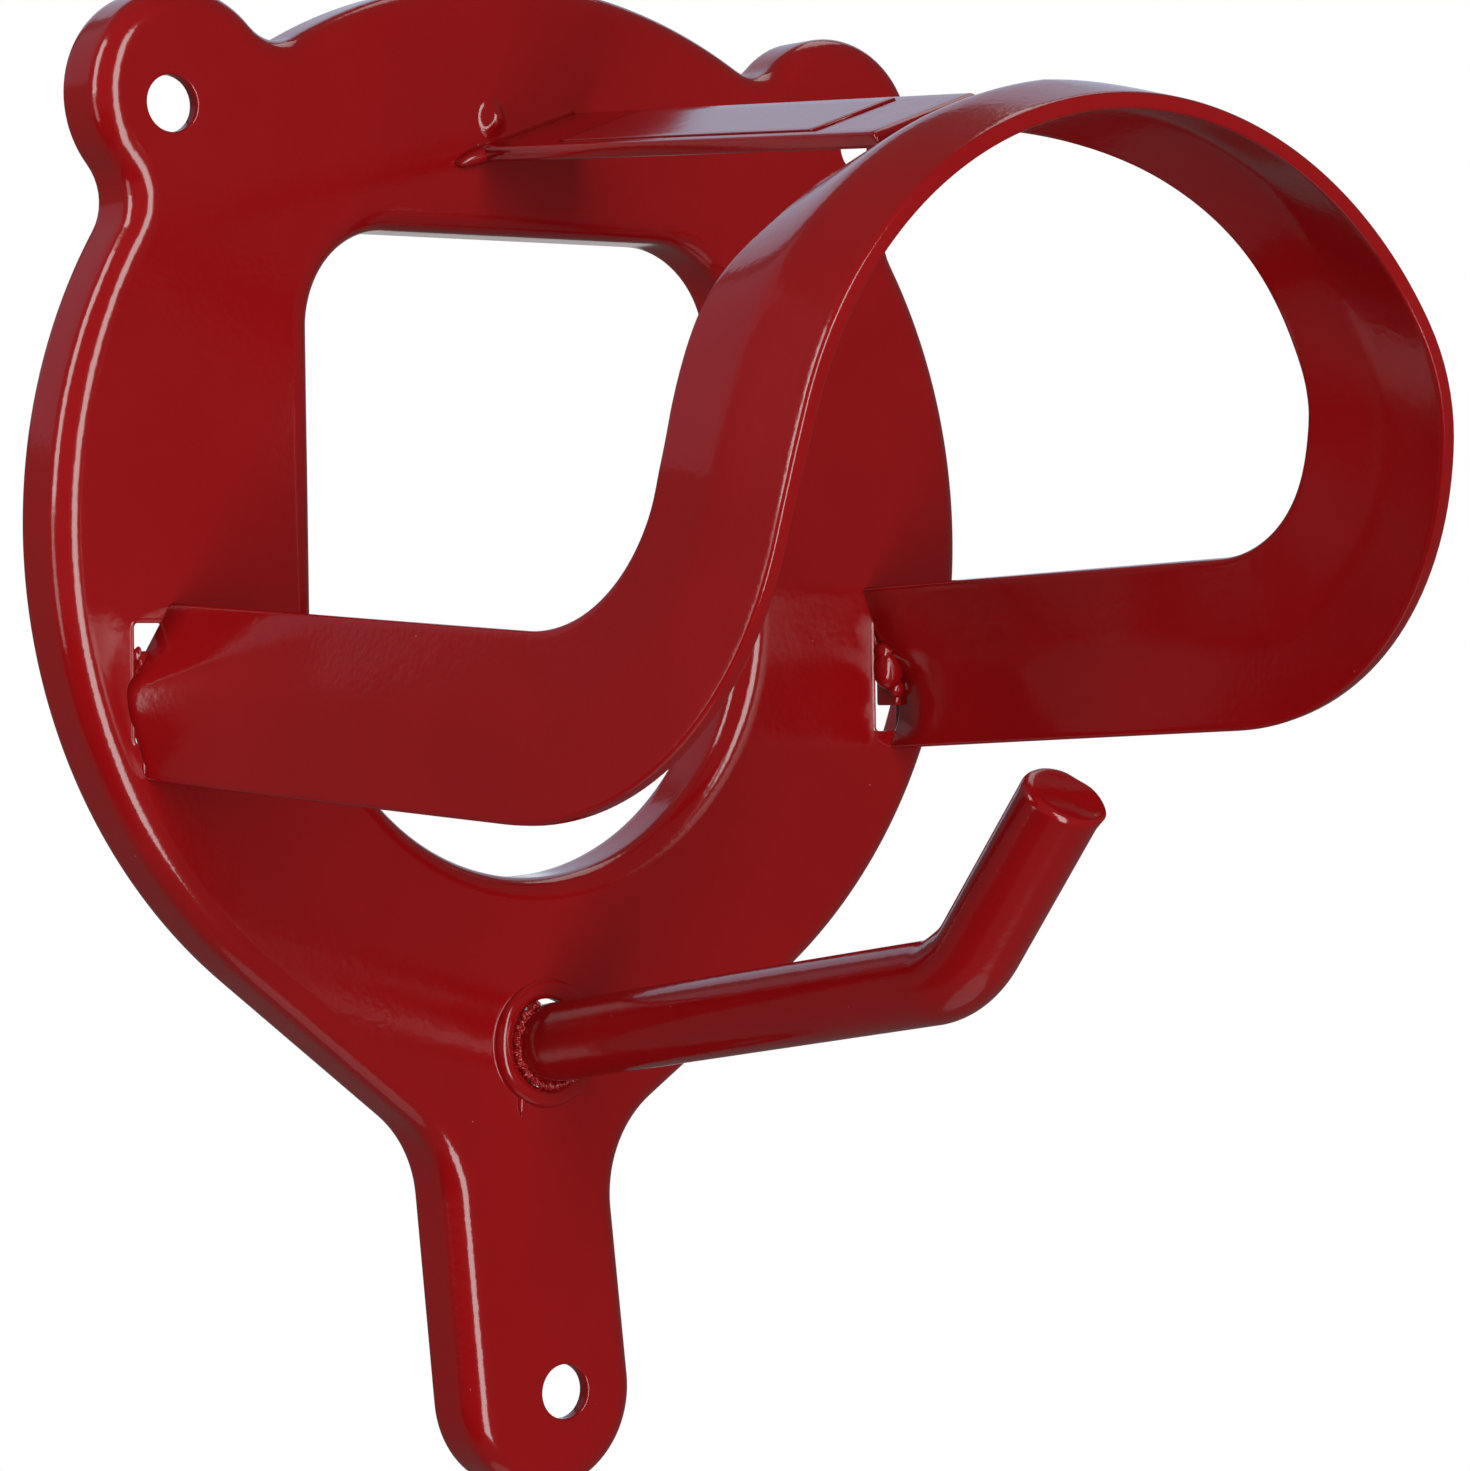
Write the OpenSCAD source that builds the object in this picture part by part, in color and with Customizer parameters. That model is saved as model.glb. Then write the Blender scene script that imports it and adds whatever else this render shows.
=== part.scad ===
// Wall-mounted bridle rack: a pressed steel plate with rolled edges, a bent strip
// arch for the headpiece, a brace strap under its crown and a bent rod for the reins.
// Millimetres. X points right, Y into the wall, Z up. The origin is on the front
// face of the plate, midway between its two upper screw holes.

/* [Plate] */
// Radius of the round body and of the dome between the ears
body_r = 72; // [69:0.5:76]
// Depth of the body centre below the upper screw holes
body_drop = 53; // [51:0.5:55]
// Sheet thickness
sheet_t = 2; // [1.5:0.1:2.5]
// Distance from the wall to the front face
plate_depth = 9.5; // [7.5:0.5:13]
// Outside radius of the rolled edge
rim_r = 3.5; // [3:0.1:4]
// Radius of the two ears
ear_r = 13.4; // [12.9:0.1:14.4]
// Distance between the upper screw holes
screw_spacing = 110; // [108:0.5:111]
// Diameter of the three screw holes
screw_d = 7.1; // [4.5:0.1:8]
// How far the ear centres lie inside the screw holes
ear_inset = 3.2; // [2.5:0.1:4]
// How far the ear centres lie above the screw holes
ear_rise = 1.5; // [0.5:0.1:2.5]
// Radius of the notch between ear and dome
notch_r = 6; // [5:0.5:7]
// Radius of the waist between ear and body
waist_r = 7; // [5.5:0.5:8]
// Width of the lower tab
tab_w = 26.4; // [24:0.2:30]
// Depth of the lower screw hole below the upper ones
tab_drop = 165; // [160:1:175]
// Sideways place of the lower screw hole in its tab
tab_hole_x = 2.2; // [0:0.1:3]
// How far the end of the tab stands to the right of the middle
tab_x = 0.8; // [-2:0.1:2]
// How far the neck of the tab stands to the left of the middle
neck_x = 1.6; // [-2:0.1:3]
// Radius of the fillet between body and tab
fillet_r = 15; // [10:0.5:17]
// Depth of the fillet centre below the upper screw holes
fillet_drop = 140; // [138:0.5:143]

/* [Openings] */
// Width of the window
window_w = 68.6; // [60:0.2:72]
// Depth of the window's top edge below the upper screw holes
window_top = 14.2; // [13.2:0.5:18.2]
// Corner radius at the top of the window
window_corner_r = 13; // [9:0.5:16]
// Depth of the centre of the window's round lower end
window_round_drop = 63.5; // [60:0.5:66]
// How far the leg slots lie outside the legs
slot_offset = 1.96; // [1.6:0.02:2.2]
// Width of a leg slot
slot_w = 5; // [4.4:0.1:5.4]
// Height of a leg slot
slot_h = 15; // [13:0.5:18]
// Depth of the legs below the upper screw holes
leg_drop = 72; // [69:0.5:75]
// Depth of the hook hole below the upper screw holes
hook_drop = 119.4; // [117:0.2:121]
// Clearance round the rod in the hook hole
hook_clearance = 0.9; // [0.6:0.1:1.2]
// Rounding of the collar drawn forwards round the hook hole
collar_r = 1.35; // [1:0.05:1.5]
// Height of that collar in front of the sheet
collar_h = 1.5; // [1.2:0.1:2.5]

/* [Arch] */
// Strip width
band_w = 22.3; // [18.3:0.5:25.3]
// Strip thickness
band_t = 2; // [1.5:0.1:2.4]
// Distance from the plate to the rear edge of the arch
arch_reach = 95.7; // [85:0.1:110]
// Inner radius of the bend that turns the legs upwards
inner_bend_r = 24; // [18:0.5:27]
// Outer radius of that bend
outer_bend_r = 49; // [44:0.5:52]
// Middle radius of the arch
arch_r = 51.6; // [51:0.1:52.2]
// Lean of the arch sides
side_lean = 8.4; // [8:0.1:8.8]
// Height of the arch centre above the legs
arch_rise = 14.9; // [12:0.1:18]
// Extra spread of the legs at the plate, as a share of their distance
leg_spread = 0.053; // [0.045:0.001:0.06]
// Turn of the arch at the plate, in degrees
turn_at_plate = 1.18; // [0:0.02:2]
// Turn of the arch at its front edge, in degrees
turn_at_front = 7.08; // [1:0.02:8]
// Shift to the right at the plate
shift_at_plate = 0.4; // [0:0.1:1]
// Shift to the right gained for each millimetre forward
shift_gain = 0.02; // [0.01:0.001:0.03]
// Drop for each millimetre forward
drop_gain = 0.02; // [0:0.002:0.04]
// How far the rear edge of the left shoulder stands out of round
shoulder_bulge = 2.2; // [0:0.1:3]
// How far the rear edge stands up at the crown
crown_flare = 1; // [0:0.1:1.5]
// How far the middle of the strip stands out of its edges at the crown
crown_cup = 2.4; // [0:0.1:3]
// Height of the tabs in the slots
tongue_h = 9.5; // [8:0.5:11]
// Thickness of the tabs in the slots
tongue_t = 1.8; // [1.4:0.1:2.4]
// Reach of the tabs behind the sheet
tongue_out = 1.2; // [0.5:0.1:3]

/* [Strap] */
// Strap width
strap_w = 16.4; // [12:0.2:20]
// Strap thickness
strap_t = 2; // [1.4:0.1:2.4]
// Sideways tilt of the strap, in degrees
strap_tilt = 19.5; // [16:0.5:23]
// Sideways place of the strap on the plate
strap_x = -1; // [-5:0.5:5]
// Depth of the strap on the plate below the upper screw holes
strap_drop = 1.5; // [0:0.5:2.5]
// Angle from the top of the arch to the strap
strap_angle = 9; // [0:0.5:12]
// Width of the bare label on the strap
label_w = 13; // [8:0.5:15]
// Thickness of the label film
label_t = 0.2; // [0.1:0.05:0.4]
// Where the label starts, as a share of the strap's length
label_from = 0.2; // [0.15:0.01:0.4]
// Where the label ends, as a share of the strap's length
label_to = 0.84; // [0.5:0.01:0.92]

/* [Hook] */
// Rod diameter
rod_d = 10.3; // [8.3:0.1:12]
// Rise of the shank, in degrees
rod_rise = 7.5; // [0:0.5:8.5]
// Forward reach of the shank to the corner of its axis
rod_reach = 84.2; // [60:0.2:100]
// Slope of the upturned end, in degrees
upturn = 49; // [40:1:70]
// Length of the upturned end from the corner of the axis
upturn_l = 29; // [20:0.2:34]
// Bend radius on the rod's axis
rod_bend_r = 14; // [12:0.5:20]
// Reach of the rod behind the front face
rod_back = 4.5; // [3.5:0.1:6]
// Chamfer at the cut end
rod_chamfer = 0.7; // [0.2:0.1:1.5]

/* [Welds] */
// Radius of the leg weld beads
leg_bead_r = 2; // [1.4:0.1:2.4]
// Radius of the strap weld beads
strap_bead_r = 2.2; // [1.6:0.1:2.6]
// Radius of the ring bead at the hook
hook_bead_r = 0.5; // [0.4:0.05:0.6]
// Part of the turn that the hook bead covers
hook_bead_turn = 290; // [200:5:330]

/* [Hidden] */
$fn = 64;
paint = [0.53, 0.04, 0.05];
film = [0.6, 0.1, 0.12];
lap = 1;
// the rod's straight ends are a hair thinner and run a little way into its bend
spigot = 0.4;
step = 0.02;
rod_r = rod_d / 2;
hook_hole_r = rod_r + hook_clearance;
// the bore trims the inside of its collar by this much
bite = 0.15;
collar_c = hook_hole_r + collar_r - bite;
weld_gap = 0.02;
body_c = [0, -body_drop];
ear_c = [screw_spacing / 2 - ear_inset, ear_rise];
notch_c = meet(body_c, body_r + notch_r, ear_c, ear_r + notch_r, 1);
waist_c = meet(body_c, body_r + waist_r, ear_c, ear_r + waist_r, -1);
fillet_c = [tab_w / 2 + fillet_r, -fillet_drop];
corner_c = [window_w / 2 - window_corner_r, -window_top - window_corner_r];
body = [body_c, body_r];
ear_side = [[waist_c, -waist_r], [ear_c, ear_r], [notch_c, -notch_r]];
tab_end = [[[-fillet_c[0] - neck_x, fillet_c[1]], -fillet_r], [[tab_x, -tab_drop], tab_w / 2],
    [fillet_c - [neck_x, 0], -fillet_r]];
outline = concat([body], ear_side, [body], [for (i = [2:-1:0]) mirrored(ear_side[i])], [body], tab_end);
window = [[[-corner_c[0], corner_c[1]], -window_corner_r], [corner_c, -window_corner_r],
    [[0, -window_round_drop], -window_w / 2]];

// arch path in the plane of the unrolled strip
rise_start = (arch_rise + arch_r * sin(side_lean)) / cos(side_lean);
crown_s = rise_start + arch_r * (90 - side_lean) * PI / 180;
side_foot = arch_r / cos(side_lean) + arch_rise * tan(side_lean);
back_u = arch_reach;
front_u = arch_reach + band_w;
rear_bend = [back_u - inner_bend_r, band_w / 2 + inner_bend_r];
front_bend = [front_u - outer_bend_r, outer_bend_r - band_w / 2];
tongue_x = side_foot * (1 + leg_spread) + slot_offset;

// strap ends and its two cross directions
strap_s = crown_s - strap_angle * PI / 180 * arch_r;
strap_far = band_point(-1, back_u, strap_s, 0, 1);
strap_near = [strap_x, 0, -strap_drop];
strap_side = [cos(strap_tilt), 0, sin(strap_tilt)];
strap_up = [-sin(strap_tilt), 0, cos(strap_tilt)];

function mirrored(c) = [[-c[0][0], c[0][1]], c[1]];

// intersection of two circles, on the left (side 1) or right (side -1) of the line c1 to c2
function meet(c1, r1, c2, r2, side) =
    let (v = c2 - c1)
    let (l = norm(v))
    let (a = (r1 * r1 - r2 * r2 + l * l) / (2 * l))
    let (h = sqrt(r1 * r1 - a * a))
    let (e = v / l)
    c1 + a * e + side * h * [-e[1], e[0]];

function turned(a) = a - 360 * floor(a / 360);
function unit(a) = [cos(a), sin(a)];
function next(ch, k) = ch[(k + 1) % len(ch)];
function prev(k, n) = (k + n - 1) % n;

// outward normal of the tangent line that leaves circle k of a chain; radii are negative where hollow
function leave(ch, k) =
    let (v = next(ch, k)[0] - ch[k][0])
    let (c = (ch[k][1] - next(ch, k)[1]) / norm(v))
    atan2(v[1], v[0]) - acos(min(1, max(-1, c)));
function arrive(ch, k) = leave(ch, prev(k, len(ch)));
function sweep(ch, k) =
    ch[k][1] > 0 ? turned(leave(ch, k) - arrive(ch, k)) : turned(arrive(ch, k) - leave(ch, k));
function link_l(ch, k) =
    norm(next(ch, k)[0] - ch[k][0] + (next(ch, k)[1] - ch[k][1]) * unit(leave(ch, k)));
function arc_steps(ch, k) = ceil(sweep(ch, k) / (36 / sqrt(abs(ch[k][1]))));

// places round a chain, each with its circle centre, signed radius and normal angle
function places(ch) = [
    for (k = [0:len(ch) - 1])
        for (j = [link_l(ch, prev(k, len(ch))) > 0.05 ? 0 : 1:arc_steps(ch, k)])
            [ch[k][0], ch[k][1], arrive(ch, k) + sign(ch[k][1]) * sweep(ch, k) * j / arc_steps(ch, k)]
];
function inset(p, n) = p[0] + (p[1] - n) * unit(p[2]);

// section of the rolled edge: distance in from the outline, height above the wall
function rim_section() = concat(
    [[0, 0]],
    [for (i = [0:6]) [rim_r, plate_depth - rim_r] + rim_r * unit(180 - 15 * i)],
    [[rim_r + lap, plate_depth], [rim_r + lap, plate_depth - sheet_t]],
    [for (i = [4:-1:0]) [rim_r, plate_depth - rim_r] + (rim_r - sheet_t) * unit(180 - 22.5 * i)],
    [[sheet_t, 0]]);

module rolled_rim(ch) {
    round = places(ch);
    section = rim_section();
    n = len(round);
    m = len(section);
    points = [for (p = round) for (q = section) let (e = inset(p, q[0])) [e[0], e[1], q[1]]];
    faces = [for (i = [0:n - 1]) for (j = [0:m - 1])
        let (i2 = (i + 1) % n)
        let (j2 = (j + 1) % m)
        each [[m * i + j, m * i2 + j2, m * i2 + j], [m * i + j, m * i + j2, m * i2 + j2]]];
    polyhedron(points, faces);
}

module back_plate() {
    color(paint)
        translate([0, plate_depth, 0])
            rotate([90, 0, 0])
                difference() {
                    union() {
                        rolled_rim(outline);
                        rolled_rim(window);
                        translate([0, 0, plate_depth - sheet_t])
                            linear_extrude(sheet_t)
                                difference() {
                                    polygon([for (p = places(outline)) inset(p, rim_r + lap / 2)]);
                                    polygon([for (p = places(window)) inset(p, rim_r + lap / 2)]);
                                }
                        translate([0, -hook_drop, plate_depth])
                            rotate_extrude() {
                                translate([collar_c, collar_h - collar_r])
                                    circle(collar_r);
                                translate([collar_c - collar_r, -sheet_t / 2])
                                    square([2 * collar_r, collar_h - collar_r + sheet_t / 2]);
                            }
                    }
                    for (p = [[-screw_spacing / 2, 0], [screw_spacing / 2, 0], [tab_hole_x, -tab_drop]])
                        translate([p[0], p[1], -1])
                            cylinder(h = plate_depth + 2, r = screw_d / 2);
                    for (side = [-1, 1])
                        translate([side * tongue_x - slot_w / 2, -leg_drop - slot_h / 2, -1])
                            cube([slot_w, slot_h, plate_depth + 2]);
                    translate([0, -hook_drop, -1])
                        cylinder(h = plate_depth + collar_h + 2, r = hook_hole_r);
                }
}

// place of a point of the strip: side -1 or 1, forward u, unrolled height s, offset off from
// the middle of the sheet, and rear 1 at the rear edge, 0 at the front edge
function rise_share(s) = max(0, (s - rise_start) / (crown_s - rise_start));
function bulge(side, s, rear) =
    rear * (crown_flare * pow(rise_share(s), 6)
        + (side > 0 ? 0 : shoulder_bulge * pow(sin(180 * pow(rise_share(s), 0.45)), 2)));
function arch_x(s, off) =
    s < rise_start ? side_foot - s * sin(side_lean) + off * cos(side_lean)
        : (arch_r + off) * cos(side_lean + (s - rise_start) / arch_r * 180 / PI);
function arch_z(s, off) =
    s < rise_start ? s * cos(side_lean) + off * sin(side_lean)
        : arch_rise + (arch_r + off) * sin(side_lean + (s - rise_start) / arch_r * 180 / PI);
function band_point(side, u, s, off, rear) =
    let (o = off + bulge(side, s, rear))
    let (x = side * arch_x(s, o) * (1 + leg_spread * (1 - u / front_u)))
    let (z = arch_z(s, o))
    let (a = turn_at_plate + (turn_at_front - turn_at_plate) * u / front_u)
    [x * cos(a) - z * sin(a) + shift_at_plate + shift_gain * u, -u,
        x * sin(a) + z * cos(a) - drop_gain * u - leg_drop];

// the strip is hollowed across on the inside of the arch, most at the crown
function cup(s) = crown_cup * pow(rise_share(s), 1.5);

// stations of one half of the strip: rear edge (u, s), then front edge (u, s)
function leg_station(u) = [[u, band_w / 2], [u, -band_w / 2]];
function bend_station(a) =
    [rear_bend + inner_bend_r * [sin(a), -cos(a)], front_bend + outer_bend_r * [sin(a), -cos(a)]];
function rise_station(f) =
    [[back_u, rear_bend[1] * (1 - f) + crown_s * f], [front_u, front_bend[1] * (1 - f) + crown_s * f]];
function half_stations() = concat(
    [for (i = [0:5]) [[rear_bend[0] * i / 6, band_w / 2], [front_bend[0] * i / 6, -band_w / 2]]],
    [for (i = [0:14]) bend_station(90 * i / 14)],
    [for (i = [1:22]) rise_station(i / 22)]);
function corners(side, st, t) =
    [for (q = [[0, 1], [0, -1], [0.5, -1], [1, -1], [1, 1], [0.5, 1]])
        let (p = st[0] * (1 - q[0]) + st[1] * q[0])
        band_point(side, p[0], p[1], q[1] * t / 2 + cup(p[1]) * (1 - abs(2 * q[0] - 1)), 1 - q[0])];
function backwards(v) = [for (i = [len(v) - 1:-1:0]) v[i]];

// closed skin over a row of sections with four corners, or six where the strip is hollowed
module skin(rows) {
    n = len(rows);
    k = len(rows[0]);
    last = k * (n - 1);
    points = [for (r = rows) for (p = r) p];
    sides = [for (i = [0:n - 2]) for (j = [0:k - 1]) each [
        [k * i + j, k * i + (j + 1) % k, k * i + k + (j + 1) % k],
        [k * i + j, k * i + k + (j + 1) % k, k * i + k + j]]];
    cap = k == 4 ? [[0, 2, 1], [0, 3, 2]] : [[0, 2, 1], [0, 5, 2], [5, 3, 2], [5, 4, 3]];
    far_cap = [for (f = cap) [last + f[0], last + f[2], last + f[1]]];
    polyhedron(points, concat(sides, cap, far_cap));
}

function half_rows(side) = [for (st = half_stations()) corners(side, st, band_t)];

// tab at the end of a leg, set over sideways into its slot
function tongue_row(side, u, over) =
    let (p = band_point(side, max(u, 0), 0, 0, 0))
    let (x = p[0] * (1 - over) + side * tongue_x * over)
    [for (q = [[1, 1], [-1, 1], [-1, -1], [1, -1]])
        [x + side * q[0] * tongue_t / 2, -u, p[2] + q[1] * tongue_h / 2]];
module tongue(side) {
    rows = [for (q = [[9, 0], [4, 0.5], [0, 1], [-sheet_t - tongue_out, 1]]) tongue_row(side, q[0], q[1])];
    skin(side < 0 ? backwards(rows) : rows);
}

module arch_band() {
    color(paint)
        union() {
            skin(concat(half_rows(-1), backwards(half_rows(1))));
            tongue(-1);
            tongue(1);
        }
}

// block along the strap between two shares of its length
module strap_block(from, to, w, low, high) {
    rows = [for (f = [from, to])
        [for (q = [[-w, low], [-w, high], [w, high], [w, low]])
            strap_near * (1 - f) + strap_far * f + strap_side * q[0] / 2 + strap_up * q[1]]];
    skin(rows);
}

module top_strap() {
    color(paint)
        strap_block(0, 1, strap_w, -strap_t / 2, strap_t / 2);
}

module strap_label() {
    color(film)
        strap_block(label_from, label_to, label_w, strap_t / 2, strap_t / 2 + label_t);
}

module rein_hook() {
    bend = upturn - rod_rise;
    trim = rod_bend_r * tan(bend / 2);
    shank_l = rod_reach / cos(rod_rise) - trim;
    end_l = upturn_l - trim;
    color(paint)
        translate([0, 0, -hook_drop])
            rotate([90, 0, -90])
                rotate([0, 0, rod_rise])
                    translate([shank_l, rod_bend_r, 0]) {
                        translate([-rod_back - shank_l, -rod_bend_r, 0])
                            rotate([0, 90, 0])
                                cylinder(h = rod_back + shank_l + spigot, r = rod_r - step);
                        rotate([0, 0, -90])
                            rotate_extrude(angle = bend)
                                translate([rod_bend_r, 0])
                                    circle(rod_r);
                        rotate([0, 0, bend])
                            translate([-spigot, -rod_bend_r, 0])
                                rotate([0, 90, 0])
                                    rotate_extrude()
                                        polygon([[0, 0], [rod_r - step, 0],
                                            [rod_r - step, spigot + end_l - rod_chamfer],
                                            [rod_r - step - rod_chamfer, spigot + end_l],
                                            [0, spigot + end_l]]);
                    }
}

module in_front() {
    translate([-200, -200, -300])
        cube([400, 200, 500]);
}

// bead through a row of places, each with its radius
module bead(row) {
    for (i = [0:len(row) - 2])
        hull() {
            translate(row[i][0])
                sphere(r = row[i][1], $fn = 16);
            translate(row[i + 1][0])
                sphere(r = row[i + 1][1], $fn = 16);
        }
}

// root of a leg, run on a little way into the plate
module leg_stub(side) {
    rows = [for (u = [-3, 0, 15]) corners(side, leg_station(u), band_t)];
    skin(side < 0 ? rows : backwards(rows));
}

module leg_weld(side, x, low) {
    color(paint)
        difference() {
            intersection() {
                in_front();
                bead([for (i = [0:2])
                    [[x, -0.5, low + 2.4 * i - leg_drop], leg_bead_r * (0.8 + 0.15 * (i % 2))]]);
            }
            leg_stub(side);
            tongue(side);
        }
}

module left_leg_weld() {
    leg_weld(-1, -tongue_x - tongue_t * 0.6, -5);
}

module right_leg_weld() {
    leg_weld(1, band_point(1, 0, 0, -band_t / 2, 0)[0] - 0.4, -0.6);
}

function strap_row(at, drop, row) =
    [for (q = row) [at + strap_side * q[0] + strap_up * drop, strap_bead_r * q[1]]];

module strap_root_weld() {
    color(paint)
        difference() {
            intersection() {
                in_front();
                bead(strap_row(strap_near - [0, 0.8, 0], strap_t / 2, [[-4.6, 0.8], [-2.8, 1], [-0.8, 0.7]]));
            }
            strap_block(-0.1, 0.3, strap_w, -strap_t * 2, strap_t / 2);
        }
}

module strap_crown_weld() {
    color(paint)
        difference() {
            bead(strap_row(strap_far + [0, 1, 0], -strap_t / 2, [[-1, 0.8], [2, 1], [5.5, 0.8]]));
            strap_block(0.7, 1.1, strap_w * 1.2, -strap_t / 2, strap_t * 2);
            skin([for (f = [-14:4:14]) corners(-1, [[back_u, strap_s + f], [front_u, strap_s + f]], band_t)]);
        }
}

// the ring bead lies in the groove between the rod and the collar
module hook_weld() {
    bead_c = rod_r / cos(rod_rise) + hook_bead_r * (1 + tan(rod_rise)) + weld_gap;
    over = sqrt(pow(collar_r + hook_bead_r + weld_gap, 2) - pow(collar_c - bead_c, 2));
    color(paint)
        translate([0, 0, collar_h * tan(rod_rise) - hook_drop])
            rotate([90, 0, 0])
                rotate([0, 0, 90 + (360 - hook_bead_turn) / 2])
                    rotate_extrude(angle = hook_bead_turn)
                        translate([bead_c, collar_h - collar_r + over])
                            circle(hook_bead_r);
}

back_plate();
arch_band();
top_strap();
rein_hook();
left_leg_weld();
right_leg_weld();
strap_root_weld();
strap_crown_weld();
hook_weld();
strap_label();
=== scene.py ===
import bpy
import numpy as np
from mathutils import Matrix
from mathutils.geometry import delaunay_2d_cdt


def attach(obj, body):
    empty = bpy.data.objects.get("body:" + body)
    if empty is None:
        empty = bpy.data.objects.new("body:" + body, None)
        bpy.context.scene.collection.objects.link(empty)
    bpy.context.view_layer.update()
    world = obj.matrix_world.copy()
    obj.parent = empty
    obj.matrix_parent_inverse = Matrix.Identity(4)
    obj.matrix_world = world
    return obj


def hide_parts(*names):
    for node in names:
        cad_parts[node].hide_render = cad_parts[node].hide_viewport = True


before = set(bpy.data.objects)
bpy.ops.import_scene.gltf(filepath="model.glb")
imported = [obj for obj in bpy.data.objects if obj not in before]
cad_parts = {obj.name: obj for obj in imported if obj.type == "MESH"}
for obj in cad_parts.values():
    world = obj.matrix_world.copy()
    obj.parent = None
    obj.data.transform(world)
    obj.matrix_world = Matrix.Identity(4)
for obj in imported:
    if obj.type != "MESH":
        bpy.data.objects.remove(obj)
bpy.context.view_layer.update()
print("frame loaded, nodes:", len(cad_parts))
millimetre = 0.001


# meshes are built as whole arrays, in millimetres

def gridQuads(rows, columns, closeRows=False, closeColumns=False):
    # quads between neighbouring rows and columns of a grid numbered row by row
    i = np.arange(rows if closeRows else rows - 1)[:, None]
    j = np.arange(columns if closeColumns else columns - 1)[None, :]
    i2, j2 = (i + 1) % rows, (j + 1) % columns
    quads = np.stack([i * columns + j, i * columns + j2, i2 * columns + j2, i2 * columns + j], -1)
    return quads.reshape(-1, 4)


def fanned(f):
    # polygons as fans of triangles round their first corner
    return np.stack([np.repeat(f[:, :1], f.shape[1] - 2, 1), f[:, 1:-1], f[:, 2:]], -1).reshape(-1, 3)


def outward(points, faces):
    # signed volume of a closed shell; below zero, every face is turned round
    faces = [np.asarray(f) for f in faces]
    corner = np.asarray(points)[np.concatenate([fanned(f) for f in faces])]
    volume = np.einsum("ij,ij->", corner[:, 0], np.cross(corner[:, 1], corner[:, 2]))
    return points, [f[:, ::-1] if volume < 0 else f for f in faces]


def joined(shells):
    # several closed shells as one set of points and faces
    starts = np.cumsum([0] + [len(p) for p, f in shells])
    return np.concatenate([p for p, f in shells]), [a + s for (p, f), s in zip(shells, starts) for a in f]


def tubeFaces(n, m):
    # faces of n rings of m points, both ends closed
    return [gridQuads(n, m, closeColumns=True), np.arange(m)[None, ::-1], (n * m - m + np.arange(m))[None, :]]


def tube(rows):
    # closed shell of rings of points
    return outward(rows.reshape(-1, 3), tubeFaces(*rows.shape[:2]))


def makePiece(name, points, faces, node, slot, material):
    mesh = bpy.data.meshes.new(name)
    corners = [f for a in faces for f in np.asarray(a).tolist()]
    mesh.from_pydata((np.asarray(points, float) * millimetre).tolist(), [], corners)
    mesh.polygons.foreach_set("use_smooth", np.ones(len(mesh.polygons), bool))
    mesh.validate()
    mesh.update()
    piece = bpy.data.objects.new(name, mesh)
    bpy.context.scene.collection.objects.link(piece)
    piece.data.materials.append(material)
    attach(piece, "root")
    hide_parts(node)
    print(name, "points", len(mesh.vertices), "faces", len(mesh.polygons))


def smooth(x):
    # 0 below 0, 1 above 1, and an even S between
    x = np.clip(x, 0, 1)
    return x * x * (3 - 2 * x)


def bell(x, at, over):
    return np.exp(-((x - at) / over) ** 2)


def ripple(p, scale, seed):
    # sum of five sine waves in seeded directions, about -1 to 1
    rng = np.random.default_rng(seed)
    k = rng.normal(size=(5, p.shape[-1]))
    k /= np.linalg.norm(k, axis=1)[:, None] * scale / (2 * np.pi) * rng.uniform(0.7, 1.6, (5, 1))
    return np.sin(p @ k.T + rng.uniform(0, 6.28, 5)).mean(-1) * 1.6


# finishes: one powder coat, and a bare film of the same colour
coatTones = {"deep": (0.228, 0.0018, 0.0026), "light": (0.278, 0.0045, 0.006), "speck": (0.5, 0.19, 0.19),
             "roughness": 0.13, "peel": 0.04, "clouds": 45.0}
filmTones = {"deep": (0.23, 0.006, 0.008), "light": (0.27, 0.011, 0.014), "speck": (0.5, 0.19, 0.19),
             "roughness": 0.14, "peel": 0.02, "clouds": 70.0}
coatGrain = {"fine": 1100.0, "broad": 260.0, "broadShare": 1.6, "dust": 420.0, "dotEdge": 0.045,
             "dotCore": 0.02, "dustRare": 0.965, "bumpDepth": 0.0005, "roughSway": 0.15}


def rgba(c):
    return (*c, 1.0)


def socket(group, name, kind, out=False):
    group.interface.new_socket(name=name, in_out="OUTPUT" if out else "INPUT", socket_type=kind)


def addNode(tree, kind, inputs=None, **settings):
    # a new node with its settings, and the values of its inputs by name or number
    node = tree.nodes.new(kind)
    for key, value in settings.items():
        setattr(node, key, value)
    for key, value in (inputs or {}).items():
        node.inputs[key].default_value = value
    return node


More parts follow.
